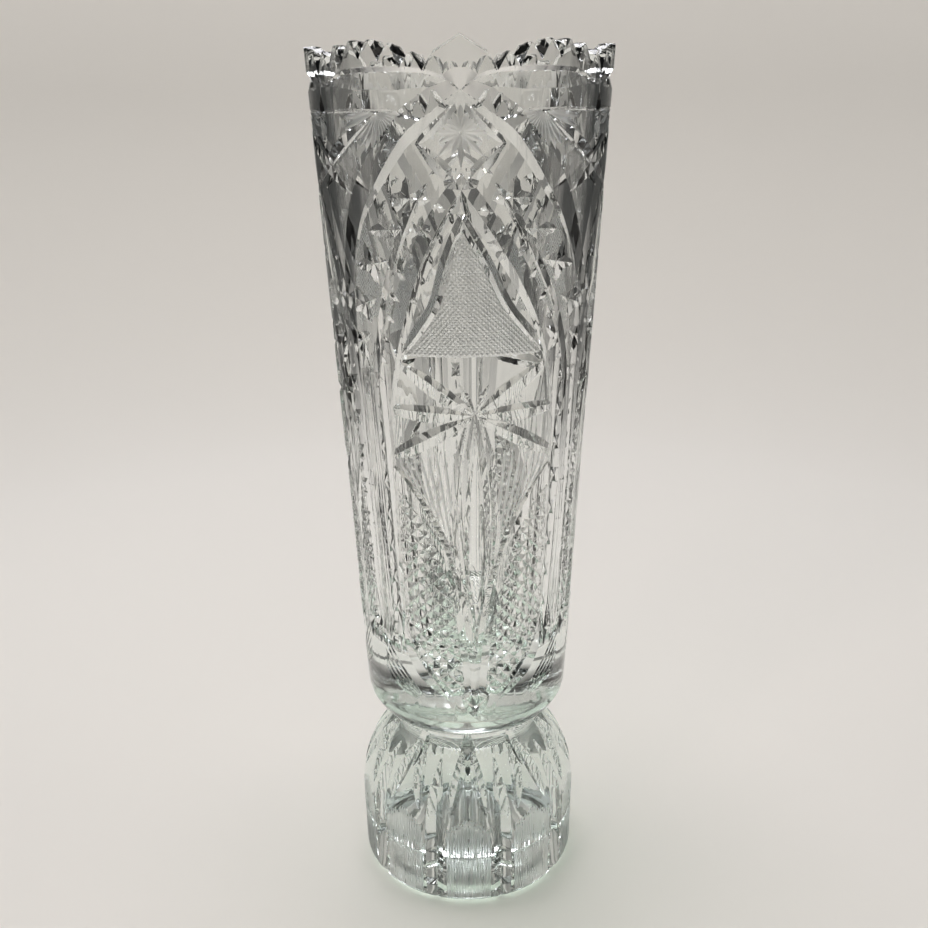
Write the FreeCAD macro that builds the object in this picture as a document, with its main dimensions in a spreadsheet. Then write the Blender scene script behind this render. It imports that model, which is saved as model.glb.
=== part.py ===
import FreeCAD, Part
import Sketcher
import math
import os

# Cut-crystal flower vase: a tapered bowl on a lobed foot.
# Millimetres, +Z up, origin at the centre of the foot's rest face, first panel towards -Y.

SIZES = [
    # Heights over the surface that the vase stands on
    ("joint_height", 76.0, "seam between the foot's neck and the bowl"),
    ("base_ring_height", 85.0, "bottom edge of the bowl"),
    ("wall_start_height", 90.0, "where the bowl's straight wall starts"),
    ("floor_height", 110.0, "floor of the cavity"),
    ("rim_height", 343.0, "low points of the rim, beside each gable"),
    ("gable_rise", 7.0, "top of each gable over the low points"),
    # Radii of the bowl
    ("joint_radius", 30.5, "bowl and neck at the seam"),
    ("base_ring_radius", 42.5, "bottom edge of the bowl"),
    ("wall_start_radius", 43.6, "bowl at the start of its wall"),
    ("rim_radius", 57.0, "bowl at the low points of the rim"),
    ("rim_wall", 6.2, "wall at the rim"),
    ("floor_wall", 8.0, "wall at the height of the cavity's floor"),
    ("floor_round", 11.0, "rounding between the floor and the wall"),
    ("underside_round", 14.0, "rounding of the bowl's underside"),
    # Crown of teeth round the rim
    ("panels", 3.0, "panels round the bowl, each with a gable"),
    ("gable_half_angle", 12.5, "gable, from its centre to its foot, in degrees"),
    ("crown_rise", 6.0, "middle tooth of an arc of teeth over the low points"),
    ("saddle_rise", 2.0, "rim between two arcs of teeth over the low points"),
    ("teeth_per_arc", 6.0, "teeth in each arc"),
    ("notch_inside", 1.4, "depth of the gap between teeth at the inner edge"),
    ("notch_outside", 5.4, "depth of the gap between teeth at the outer edge"),
    # Mitre cuts of a panel: width at the surface, and depth
    ("arch_width", 7.5, "outer arch mitre"),
    ("arch_depth", 2.6, "outer arch mitre"),
    ("arch_apex_height", 332.5, "apex of the outer arch"),
    ("arch_spring_height", 240.0, "where the outer arch becomes an upright line"),
    ("arch_half_angle", 55.5, "upright lines of the arch, from the panel's centre, in degrees"),
    ("arch_bow", 2.3, "roundness of the outer arch"),
    ("lancet_width", 6.0, "inner lancet mitre"),
    ("lancet_depth", 2.2, "inner lancet mitre"),
    ("lancet_apex_height", 301.0, "apex of the inner lancet"),
    ("lancet_spring_height", 210.0, "where the lancet becomes an upright line"),
    ("lancet_half_angle", 40.0, "upright lines of the lancet, from the panel's centre, in degrees"),
    ("lancet_bow", 1.8, "roundness of the inner lancet"),
    ("upright_foot_height", 112.0, "foot of the upright lines"),
    # Foot
    ("rest_radius", 43.2, "outer edge of the rest face"),
    ("foot_edge_height", 5.0, "rounded bottom edge of the foot"),
    ("foot_low_radius", 47.4, "foot above its rounded edge"),
    ("foot_radius", 48.0, "widest place of the foot"),
    ("foot_wide_height", 34.0, "height of the widest place"),
    ("shoulder_top_height", 68.0, "where the shoulder meets the neck"),
    ("shoulder_round", 45.8, "rounding of the shoulder"),
    ("neck_flare", 2.4, "neck's flare at the top of the shoulder"),
    ("neck_start_height", 72.0, "where the neck becomes straight"),
    ("neck_round", 6.0, "hollow between the shoulder and the neck"),
    ("recess_radius", 33.0, "mouth of the hollow under the foot"),
    ("recess_depth", 2.0, "hollow under the foot"),
    ("recess_slope", 2.0, "how far the hollow's edge leans in"),
    ("lobes", 10.0, "lobes round the foot"),
    ("lobe_cut_width", 8.0, "mitre between two lobes"),
    ("lobe_cut_depth", 3.4, "mitre between two lobes"),
    ("lobe_cut_height", 62.0, "top of the mitre between two lobes"),
]

document = FreeCAD.newDocument("Vase")
sheet = document.addObject("Spreadsheet::Sheet", "Sizes")
for row, (alias, number, note) in enumerate(SIZES, start=1):
    sheet.set(f"A{row}", alias)
    sheet.set(f"B{row}", str(number))
    sheet.set(f"C{row}", note)
    sheet.setAlias(f"B{row}", alias)
document.recompute()


class Size:
    """A length with its value and the sheet expression that gives it."""

    def __init__(self, value, text):
        self.value = value
        self.text = text

    def __add__(self, other):
        return Size(self.value + other.value, f"({self.text} + {other.text})")

    def __sub__(self, other):
        return Size(self.value - other.value, f"({self.text} - {other.text})")

    def __mul__(self, number):
        return Size(self.value * number, f"({self.text} * {number})")


def size(alias):
    return Size(float(sheet.get(alias)), f"Sizes.{alias}")


def number(alias):
    return float(sheet.get(alias))


def count(alias):
    return int(round(number(alias)))


def origin_plane(body, role):
    for feature in body.Origin.OriginFeatures:
        if feature.Role == role:
            return feature
    raise RuntimeError(f"{body.Label} has no {role}")


def arc_between(start, end, radius, side):
    """Arc of the given radius from start to end that bulges to one side (1 right, -1 left)."""
    chord = end - start
    middle = (start + end) * 0.5
    across = FreeCAD.Vector(chord.y, -chord.x, 0).normalize()
    half = chord.Length / 2
    bulge = radius - math.sqrt(max(radius ** 2 - half ** 2, 0.0))
    return Part.Arc(start, middle + across * (side * bulge), end)


def pin(sketch, index, vertex, corner, name):
    """Holds one sketch point at the sizes of its corner."""
    for axis, length in (("X", corner[0]), ("Y", corner[1])):
        if abs(length.value) < 1e-9:
            line = -2 if axis == "X" else -1
            sketch.addConstraint(Sketcher.Constraint("PointOnObject", index, vertex, line))
            continue
        kind = f"Distance{axis}"
        where = sketch.addConstraint(Sketcher.Constraint(kind, -1, 1, index, vertex, length.value))
        sketch.renameConstraint(where, f"{name}_{axis.lower()}")
        sketch.setExpression(f"Constraints.{name}_{axis.lower()}", length.text)


def outline(body, name, corners):
    """Closed outline in the body's XZ plane: corners of (x, z) or (x, z, radius, side)."""
    sketch = body.newObject("Sketcher::SketchObject", name)
    sketch.AttachmentSupport = [(origin_plane(body, "XZ_Plane"), "")]
    sketch.MapMode = "FlatFace"
    points = [FreeCAD.Vector(corner[0].value, corner[1].value, 0) for corner in corners]
    total = len(corners)
    for index, corner in enumerate(corners):
        start = points[index]
        end = points[(index + 1) % total]
        if len(corner) == 4:
            sketch.addGeometry(arc_between(start, end, corner[2].value, corner[3]), False)
        else:
            sketch.addGeometry(Part.LineSegment(start, end), False)
    ends = []
    for index in range(total):
        first = (sketch.getPoint(index, 1) - points[index]).Length < 1e-6
        ends.append((1, 2) if first else (2, 1))
    for index, corner in enumerate(corners):
        following = (index + 1) % total
        sketch.addConstraint(Sketcher.Constraint(
            "Coincident", index, ends[index][1], following, ends[following][0]))
        pin(sketch, index, ends[index][0], corner, f"point{index}")
        if len(corner) == 4:
            where = sketch.addConstraint(Sketcher.Constraint("Radius", index, corner[2].value))
            sketch.renameConstraint(where, f"round{index}")
            sketch.setExpression(f"Constraints.round{index}", corner[2].text)
    return sketch


def turned(body, name, corners, kind):
    """Revolution or groove of an outline about the vase's axis."""
    sketch = outline(body, f"{name}_outline", corners)
    feature = body.newObject(kind, name)
    feature.Profile = sketch
    feature.ReferenceAxis = (sketch, ["V_Axis"])
    feature.Angle = 360
    body.Tip = feature
    document.recompute()
    return feature


zero = Size(0.0, "0")

# Bowl: turned blank with its cavity

wall_lean = (size("rim_radius") - size("wall_start_radius")).value / (
    size("rim_height") - size("wall_start_height")).value
gable_top = size("rim_height") + size("gable_rise")
crest_radius = size("rim_radius") + (size("gable_rise") * wall_lean)
floor_outside = size("wall_start_radius") + (
    (size("floor_height") - size("wall_start_height")) * wall_lean)
floor_inside = floor_outside - size("floor_wall")

blank = document.addObject("PartDesign::Body", "bowl_blank")
turned(blank, "bowl_turned", [
    (zero, size("joint_height")),
    (size("joint_radius"), size("joint_height"), size("underside_round"), 1),
    (size("base_ring_radius"), size("base_ring_height")),
    (size("wall_start_radius"), size("wall_start_height")),
    (crest_radius, gable_top),
    (crest_radius - size("rim_wall"), gable_top),
    (floor_inside, size("floor_height") + size("floor_round"), size("floor_round"), 1),
    (floor_inside - size("floor_round"), size("floor_height")),
    (zero, size("floor_height")),
], "PartDesign::Revolution")


# Surfaces of revolution that carry the cuts: a radius and an outward slope for each height

def wall_radius(height):
    return number("wall_start_radius") + (height - number("wall_start_height")) * wall_lean


def on_bowl(angle, height, depth=0.0):
    """Point on the bowl's wall, or below it by a depth, at an angle in degrees from -Y."""
    turn = math.radians(angle)
    radius = wall_radius(height) - depth
    return FreeCAD.Vector(radius * math.sin(turn), -radius * math.cos(turn), height)


def on_foot(angle, height, depth=0.0):
    """Point on the foot's side, or inside it by a depth measured square to the surface."""
    turn = math.radians(angle)
    wide = number("foot_wide_height")
    radius = number("foot_radius")
    level = height
    if height > wide:
        climb = math.asin(min((height - wide) / number("shoulder_round"), 1.0))
        reach = number("shoulder_round") - depth
        radius = number("foot_radius") - number("shoulder_round") + reach * math.cos(climb)
        level = wide + reach * math.sin(climb)
    else:
        radius = number("foot_low_radius") + (
            number("foot_radius") - number("foot_low_radius")) * max(height, 0.0) / wide - depth
    return FreeCAD.Vector(radius * math.sin(turn), -radius * math.cos(turn), level)


def closed_solid(faces):
    """Solid inside a closed set of flat faces, with its volume the right way out."""
    shell = Part.makeShell(faces)
    shell.sewShape()
    solid = Part.makeSolid(shell)
    if solid.Volume < 0:
        solid.reverse()
    return solid


def flat_face(*corners):
    return Part.Face(Part.makePolygon(list(corners) + [corners[0]]))


def mitre(place, path, width, depth):
    """V-shaped wheel cut along a path of (angle, height, share of full depth) on a surface."""
    clear = 1.6
    points = [place(angle, height) for angle, height, share in path]
    sections = []
    for index, (angle, height, share) in enumerate(path):
        before = points[max(index - 1, 0)]
        after = points[min(index + 1, len(points) - 1)]
        outward = (place(angle, height) - place(angle, height, 1.0)).normalize()
        along = (after - before).normalize()
        across = along.cross(outward).normalize()
        half = width / 2 * share
        deep = depth * share
        lift = clear * half / deep
        valley = points[index] - outward * deep
        left = points[index] + outward * clear + across * (half + lift)
        right = points[index] + outward * clear - across * (half + lift)
        sections.append((valley, left, right))
    faces = [flat_face(*sections[0]), flat_face(*sections[-1])]
    for one, two in zip(sections, sections[1:]):
        for first, second in ((0, 1), (1, 2), (2, 0)):
            faces.append(flat_face(one[first], one[second], two[second]))
            faces.append(flat_face(one[first], two[second], two[first]))
    return closed_solid(faces)


def bowed(apex_height, half_angle, spring_height, bow, foot_height, steps=8):
    """Half a pointed arch: a bowed curve from past the apex, then an upright that runs out."""
    past_apex = 0.03
    run_out = 12.0
    tip_share = 0.15
    path = []
    for step in range(steps + 1):
        share = step / steps if step else -past_apex
        angle = half_angle * (1 - (1 - share) ** bow)
        height = apex_height + (spring_height - apex_height) * share
        path.append((angle, height, 1.0))
    path.append((half_angle, foot_height + run_out, 1.0))
    path.append((half_angle, foot_height, tip_share))
    return path


def mirrored(path):
    return [(-angle, height, share) for angle, height, share in path]


# Crown: everything above the toothed rim, as one ring that is cut away

def crown_points():
    """Angle, height at the outer edge and height at the inner edge, once round the rim."""
    low = number("rim_height")
    pitch = 360 / count("panels")
    half = number("gable_half_angle")
    teeth = count("teeth_per_arc")
    arc = (pitch - 2 * half) / 2
    points = []
    for panel in range(count("panels")):
        centre = panel * pitch
        points.append((centre, low + number("gable_rise"), low + number("gable_rise")))
        points.append((centre + half, low, low))
        for side in range(2):
            start = centre + half + side * arc
            for tooth in range(teeth):
                for place in (0.25, 0.5, 0.75, 1.0):
                    share = (tooth + place) / teeth
                    if side == 1:
                        ends = (number("saddle_rise"), 0.0)
                    else:
                        ends = (0.0, number("saddle_rise"))
                    base = ends[0] + (ends[1] - ends[0]) * share
                    rise = base + (number("crown_rise") - base) * math.sin(math.pi * share)
                    top = low + rise
                    gap = 1.0 if place == 1.0 else 0.0
                    side_drop = 0.0 if place == 0.5 else 0.5
                    if place == 1.0 and tooth == teeth - 1:
                        gap = 0.0
                        side_drop = 0.0
                    outer = top - side_drop - gap * (number("notch_outside") - side_drop)
                    inner = top - side_drop - gap * (number("notch_inside") - side_drop)
                    points.append((start + arc * share, outer, inner))
        points.pop()
        points.append((centre + pitch - half, low, low))
    return points


def crown_ring():
    """Closed ring over the rim whose underside is the crown's outline, ruled towards the axis."""
    beside = 4
    above = 5
    outside = number("rim_radius") + beside
    inside = number("rim_radius") - number("rim_wall") - beside
    ceiling = number("rim_height") + number("gable_rise") + above

    def place(radius, angle, height):
        turn = math.radians(angle)
        return FreeCAD.Vector(radius * math.sin(turn), -radius * math.cos(turn), height)

    faces = []
    points = crown_points()
    total = len(points)
    wall_outside = number("rim_radius")
    wall_inside = number("rim_radius") - number("rim_wall")
    rate = (outside - wall_outside) / (wall_outside - wall_inside)
    low_outer = []
    low_inner = []
    for angle, outer, inner in points:
        reach = (outer - inner) * rate
        low_outer.append(place(outside, angle, outer + reach))
        low_inner.append(place(inside, angle, inner - reach))
    for index in range(total):
        after = (index + 1) % total
        angle = points[index][0]
        angle_after = points[after][0]
        top_outer = place(outside, angle, ceiling)
        top_outer_after = place(outside, angle_after, ceiling)
        top_inner = place(inside, angle, ceiling)
        top_inner_after = place(inside, angle_after, ceiling)
        corners = [
            (low_outer[index], low_outer[after], low_inner[after]),
            (low_outer[index], low_inner[after], low_inner[index]),
            (low_outer[index], low_outer[after], top_outer_after, top_outer),
            (low_inner[index], low_inner[after], top_inner_after, top_inner),
            (top_outer, top_outer_after, top_inner_after, top_inner),
        ]
        for corner in corners:
            faces.append(flat_face(*corner))
    return closed_solid(faces)


crown = document.addObject("Part::Feature", "crown_cutter")
crown.Shape = crown_ring()


# Mitre cuts of one panel, turned round for each of the others

def panel_cuts():
    foot = number("upright_foot_height")
    arch = bowed(number("arch_apex_height"), number("arch_half_angle"),
                 number("arch_spring_height"), number("arch_bow"), foot)
    lancet = bowed(number("lancet_apex_height"), number("lancet_half_angle"),
                   number("lancet_spring_height"), number("lancet_bow"), foot)
    cuts = []
    for turn in (arch, mirrored(arch)):
        cuts.append(mitre(on_bowl, turn, number("arch_width"), number("arch_depth")))
    for turn in (lancet, mirrored(lancet)):
        cuts.append(mitre(on_bowl, turn, number("lancet_width"), number("lancet_depth")))
    return cuts


def round_the_bowl(cuts):
    pitch = 360 / count("panels")
    centre = FreeCAD.Vector(0, 0, 0)
    axis = FreeCAD.Vector(0, 0, 1)
    shapes = []
    for panel in range(count("panels")):
        for cut in cuts:
            copy = cut.copy()
            copy.rotate(centre, axis, panel * pitch)
            shapes.append(copy)
    return shapes


cutters = round_the_bowl(panel_cuts())
ornament = document.addObject("Part::Feature", "panel_cutters")
ornament.Shape = cutters[0].fuse(cutters[1:])

rimmed = document.addObject("Part::Cut", "bowl_rimmed")
rimmed.Base = blank
rimmed.Tool = crown
bowl = document.addObject("Part::Cut", "bowl")
bowl.Base = rimmed
bowl.Tool = ornament
document.recompute()

# Foot: turned body with lobes and a shallow hollow underneath

foot_blank = document.addObject("PartDesign::Body", "foot_blank")
turned(foot_blank, "foot_turned", [
    (zero, size("recess_depth")),
    (size("recess_radius") - size("recess_slope"), size("recess_depth")),
    (size("recess_radius"), zero),
    (size("rest_radius"), zero, size("foot_edge_height"), 1),
    (size("foot_low_radius"), size("foot_edge_height")),
    (size("foot_radius"), size("foot_wide_height"), size("shoulder_round"), 1),
    (size("joint_radius") + size("neck_flare"), size("shoulder_top_height"), size("neck_round"), -1),
    (size("joint_radius"), size("neck_start_height")),
    (size("joint_radius"), size("joint_height")),
    (zero, size("joint_height")),
], "PartDesign::Revolution")


def lobe_cutters():
    pitch = 360 / count("lobes")
    top = number("lobe_cut_height")
    below = 3.0
    heights = [-below, number("foot_wide_height") * 0.5, number("foot_wide_height")]
    heights += [number("foot_wide_height") + (top - number("foot_wide_height")) * share
                for share in (0.35, 0.7, 1.0)]
    shares = [1.0, 1.0, 1.0, 0.9, 0.6, 0.15]
    path = [(pitch / 2, height, share) for height, share in zip(heights, shares)]
    cut = mitre(on_foot, path, number("lobe_cut_width"), number("lobe_cut_depth"))
    cuts = []
    for lobe in range(count("lobes")):
        copy = cut.copy()
        copy.rotate(FreeCAD.Vector(0, 0, 0), FreeCAD.Vector(0, 0, 1), lobe * pitch)
        cuts.append(copy)
    return Part.makeCompound(cuts)


lobe_tool = document.addObject("Part::Feature", "lobe_cutters")
lobe_tool.Shape = lobe_cutters()
foot = document.addObject("Part::Cut", "foot")
foot.Base = foot_blank
foot.Tool = lobe_tool
document.recompute()

# Checks, then one file for each piece

for thing in document.Objects:
    if "Invalid" in thing.State or "Error" in thing.State:
        raise RuntimeError(f"{thing.Label} failed: {thing.State}")

os.makedirs("parts", exist_ok=True)
for piece in (bowl, foot):
    piece.Label = piece.Name
    shape = piece.Shape
    if shape.isNull() or not shape.isValid() or len(shape.Solids) != 1:
        raise RuntimeError(f"{piece.Label} is not one valid solid")
    box = shape.BoundBox
    print(piece.Label, "volume", round(shape.Volume / 1000, 1), "cm3",
          "faces", len(shape.Faces), "z", round(box.ZMin, 3), round(box.ZMax, 3))
    shape.exportStep(f"parts/{piece.Label}.step")
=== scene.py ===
"""Cut-crystal flower vase: a tapered bowl on a lobed foot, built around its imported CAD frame."""

import math

import bmesh
import bpy
import numpy as np
from mathutils import Matrix, Vector


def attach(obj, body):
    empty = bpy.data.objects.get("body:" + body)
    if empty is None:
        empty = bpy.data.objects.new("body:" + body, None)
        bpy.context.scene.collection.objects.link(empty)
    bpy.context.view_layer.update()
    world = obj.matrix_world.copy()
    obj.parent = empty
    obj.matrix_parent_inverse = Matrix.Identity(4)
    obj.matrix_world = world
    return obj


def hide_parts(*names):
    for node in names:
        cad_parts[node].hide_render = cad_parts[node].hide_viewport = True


bl_info = {
    "name": "Cut-crystal vase",
    "version": (1, 0, 0),
    "blender": (4, 5, 0),
    "location": "View3D > Sidebar > Vase",
    "description": "Bowl and foot of a cut-crystal vase, with their wheel cuts, and a plain stage",
    "category": "Object",
}

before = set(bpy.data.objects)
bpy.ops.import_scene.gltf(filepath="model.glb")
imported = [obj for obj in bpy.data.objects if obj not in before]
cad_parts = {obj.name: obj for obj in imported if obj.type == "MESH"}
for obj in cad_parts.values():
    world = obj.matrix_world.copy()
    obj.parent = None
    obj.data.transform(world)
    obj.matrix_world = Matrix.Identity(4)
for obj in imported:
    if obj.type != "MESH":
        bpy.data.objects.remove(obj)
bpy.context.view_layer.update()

# Millimetres to metres
MM = 0.001

# Turned outline of the bowl, in millimetres
JOINT_HEIGHT = 76.0
JOINT_RADIUS = 30.5
JOINT_LAP = 0.02
BASE_RING = (42.5, 85.0)
WALL_START = (43.6, 90.0)
RIM_RADIUS = 57.0
RIM_HEIGHT = 343.0
RIM_WALL = 6.2
FLOOR_HEIGHT = 110.0
FLOOR_WALL = 8.0
FLOOR_ROUND = 11.0
UNDERSIDE_ROUND = 14.0
WALL_LEAN = (RIM_RADIUS - WALL_START[0]) / (RIM_HEIGHT - WALL_START[1])

# Crown of teeth
PANELS = 3
GABLE_RISE = 7.0
GABLE_HALF = 12.5
CROWN_RISE = 6.0
SADDLE_RISE = 2.0
TEETH_PER_ARC = 6
PANEL_HALF = 60.0

# Turned outline of the foot, in millimetres
RECESS = ((31.0, 2.0), (33.0, 0.0))
REST_RADIUS = 43.2
FOOT_EDGE = (47.4, 5.0)
FOOT_WIDE = (48.0, 34.0)
SHOULDER_TOP = (32.9, 68.0)
NECK_START = (30.5, 72.0)
EDGE_ROUND = 5.0
SHOULDER_ROUND = 45.8
NECK_ROUND = 6.0
LOBES = 10

# Drop of the gaps between the teeth, at the outer and at the inner edge
TOOTH_GAP = 5.4
GABLE_GAP = 3.6
INNER_GAP = 1.6
# Rounding on top of the lip, and how far the lip reaches down the cavity
LIP_ROUND = 0.35
LIP_DROP = 10.0
# Height up to which the rows of the wall stay level
STEADY_TOP = 322.0
# Where the hand-cut panel's drift to the side starts and ends, and how far it goes in degrees
LEAN_TOP = 300.0
LEAN_FOOT = 240.0
LEAN = 4.6
# Points closer than this are one, in millimetres
SEAM = 0.002

# Steps of the fine grid that carries the cuts, and of the plain turned surfaces
FINE_ANGLE = 0.25
FINE_HEIGHT = 0.3
PLAIN_EVERY = 8
# A cut less than this deeper than the one before it, in millimetres, leaves the finish as it was
SAME_DEPTH = 0.01
# Edges sharper than this, in degrees, stay crisp
CRISP = 9.0


def linear(hex_colour):
    """Linear RGBA of an sRGB hex colour."""
    channels = [int(hex_colour[place:place + 2], 16) / 255 for place in (1, 3, 5)]
    return tuple(c / 12.92 if c <= 0.04045 else ((c + 0.055) / 1.055) ** 2.4 for c in channels) + (1.0,)


# Turned outlines

def arc(start, end, radius, side, steps):
    """Points of an arc from start to end that bulges to one side (1 right, -1 left), without its start."""
    start = np.array(start)
    end = np.array(end)
    chord = end - start
    half = np.linalg.norm(chord) / 2
    across = np.array((chord[1], -chord[0])) / (2 * half)
    centre = (start + end) / 2 - across * side * math.sqrt(max(radius ** 2 - half ** 2, 0.0))
    first = math.atan2(*(start - centre)[::-1])
    sweep = math.atan2(*(end - centre)[::-1]) - first
    sweep = (sweep + math.pi) % (2 * math.pi) - math.pi
    points = []
    for step in range(1, steps + 1):
        turn = first + sweep * step / steps
        points.append((centre[0] + radius * math.cos(turn), centre[1] + radius * math.sin(turn)))
    return points


def wall_radius(height):
    """Outside radius of the bowl at a height."""
    if height >= WALL_START[1]:
        return WALL_START[0] + (height - WALL_START[1]) * WALL_LEAN
    if height >= BASE_RING[1]:
        share = (height - BASE_RING[1]) / (WALL_START[1] - BASE_RING[1])
        return BASE_RING[0] + (WALL_START[0] - BASE_RING[0]) * share
    share = (height - JOINT_HEIGHT) / (BASE_RING[1] - JOINT_HEIGHT)
    return JOINT_RADIUS + (BASE_RING[0] - JOINT_RADIUS) * max(share, 0.0)


def foot_radius(height):
    """Outside radius of the foot at a height, without its bottom rounding."""
    if height <= FOOT_WIDE[1]:
        return FOOT_EDGE[0] + (FOOT_WIDE[0] - FOOT_EDGE[0]) * max(height, 0.0) / FOOT_WIDE[1]
    if height <= SHOULDER_TOP[1]:
        climb = (height - FOOT_WIDE[1]) / SHOULDER_ROUND
        return FOOT_WIDE[0] - SHOULDER_ROUND * (1 - math.sqrt(1 - climb ** 2))
    share = min((height - SHOULDER_TOP[1]) / (NECK_START[1] - SHOULDER_TOP[1]), 1.0)
    return SHOULDER_TOP[0] + (NECK_START[0] - SHOULDER_TOP[0]) * share


def crown_height(rel):
    """Height of the rim at an angle from its panel's centre, without the gaps between the teeth."""
    away = abs(rel)
    if away <= GABLE_HALF:
        return RIM_HEIGHT + GABLE_RISE * (1 - away / GABLE_HALF)
    share = (away - GABLE_HALF) / (PANEL_HALF - GABLE_HALF)
    base = SADDLE_RISE * share
    top = RIM_HEIGHT + base + (CROWN_RISE - base) * math.sin(math.pi * share)
    tooth = (share * TEETH_PER_ARC) % 1.0
    drop = 0.9
    bluntness = 2.5
    return top - drop * abs(2 * tooth - 1) ** bluntness


def tooth_gaps(rel):
    """How far the gaps between the teeth drop the rim at its outer and its inner edge."""
    away = np.abs(rel)
    pitch = (PANEL_HALF - GABLE_HALF) / TEETH_PER_ARC
    outer = np.zeros_like(away)
    inner = np.zeros_like(away)
    outer_fall = 1.04
    inner_fall = 2.2
    for gap in range(TEETH_PER_ARC + 1):
        centre = GABLE_HALF + pitch * gap
        near = np.abs(away - centre) / (pitch / 2)
        depth = GABLE_GAP if gap == 0 else TOOTH_GAP
        outer = np.maximum(outer, depth * (1 - near * outer_fall))
        inner = np.maximum(inner, INNER_GAP * (1 - near * inner_fall))
    return outer, inner


class Relief:
    """Depth of the wheel cuts on a grid of angles, in degrees, and of levels up a turned surface."""

    def __init__(self, angles, levels, radii):
        self.angles = np.array(angles)
        self.levels = np.array(levels)
        self.per_degree = np.radians(np.array(radii))
        self.depth = np.zeros((len(levels), len(angles)))
        self.matt = np.zeros(self.depth.shape, bool)
        self.grinding = False

    def take(self, rows, columns, found):
        """Cut away what is deeper than before, polished or left matt by the wheel."""
        old = self.depth[rows, columns]
        deeper = found > old + SAME_DEPTH
        self.depth[rows, columns] = np.maximum(old, found)
        self.matt[rows, columns] = np.where(deeper, self.grinding, self.matt[rows, columns])

    def is_matt(self, rel, level):
        """Whether the surface at an angle and level was left matt."""
        row = int(round((level - self.levels[0]) / (self.levels[1] - self.levels[0])))
        column = int(round((rel - self.angles[0]) / (self.angles[1] - self.angles[0])))
        if not 0 <= row < len(self.levels) or not 0 <= column < len(self.angles):
            return False
        return bool(self.matt[row, column])

    def radius_at(self, level):
        """Radius of the uncut surface at a level."""
        return float(np.degrees(np.interp(level, self.levels, self.per_degree)))

    def groove(self, path, width, depth):
        """A V cut along (angle, level, share) points, and its mirror images in both edges of the grid.

        Width is one number, or (left, right) as seen along the path from outside.
        """
        left, right = width if isinstance(width, tuple) else (width / 2, width / 2)
        for one, two in zip(path, path[1:]):
            self.piece(one, two, left, right, depth)
        for edge in (self.angles[0], self.angles[-1]):
            mirror = [(2 * edge - angle, level, share) for angle, level, share in path]
            for one, two in zip(mirror, mirror[1:]):
                self.piece(one, two, right, left, depth)

    def piece(self, one, two, left, right, depth):
        """One straight run of a V cut."""
        reach = max(left, right) * max(one[2], two[2], 0.05)
        low, high = sorted((one[1], two[1]))
        rows = slice(*np.searchsorted(self.levels, (low - reach, high + reach)))
        if rows.start >= rows.stop:
            return
        wide = reach / self.per_degree[rows].min()
        first, last = sorted((one[0], two[0]))
        columns = slice(*np.searchsorted(self.angles, (first - wide, last + wide)))
        if columns.start >= columns.stop:
            return
        scale = self.per_degree[rows][:, None]
        x = (self.angles[columns][None, :] - one[0]) * scale
        y = (self.levels[rows] - one[1])[:, None] + np.zeros_like(x)
        run_x = (two[0] - one[0]) * float(np.mean(scale))
        run_y = two[1] - one[1]
        length = max(run_x * run_x + run_y * run_y, 1e-9)
        t = np.clip((x * run_x + y * run_y) / length, 0, 1)
        off_x = x - t * run_x
        off_y = y - t * run_y
        side = np.where(run_x * off_y - run_y * off_x > 0, left, right)
        share = one[2] + (two[2] - one[2]) * t
        found = depth * (share - np.hypot(off_x, off_y) / side)
        self.take(rows, columns, found)

    def leaf(self, start, end, width, depth, steps=6, blunt=0.06):
        """A straight wheel cut, pointed at both ends, between two (angle, level) places."""
        path = []
        for step in range(steps + 1):
            share = step / steps
            swell = max(math.sin(math.pi * share) ** 0.7, blunt)
            path.append((start[0] + (end[0] - start[0]) * share,
                         start[1] + (end[1] - start[1]) * share, swell))
        self.groove(path, width, depth)

    def ray(self, centre, tilt, length, width, depth, inner=0.0, blunt=0.06, steps=5):
        """A leaf from a centre, at a tilt in degrees from straight up, of a length in millimetres."""
        per_degree = math.radians(self.radius_at(centre[1]))
        out = (math.sin(math.radians(tilt)) / per_degree, math.cos(math.radians(tilt)))
        start = (centre[0] + out[0] * inner, centre[1] + out[1] * inner)
        end = (centre[0] + out[0] * length, centre[1] + out[1] * length)
        self.leaf(start, end, width, depth, steps, blunt)

    def field(self, inside, pitch, depth, tilts):
        """Parallel V cuts side by side at each tilt, in the region that inside(angle, level) tells."""
        angle = self.angles[None, :] + np.zeros_like(self.depth)
        level = self.levels[:, None] + np.zeros_like(self.depth)
        room = np.clip(inside(angle, level), 0, 1)
        for tilt in tilts:
            turn = math.radians(tilt)
            across = angle * self.per_degree[:, None] * math.cos(turn) - level * math.sin(turn)
            away = np.abs((across / pitch + 0.5) % 1.0 - 0.5) * 2
            found = depth * (1 - away) * room
            self.take(slice(None), slice(None), found)


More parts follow.
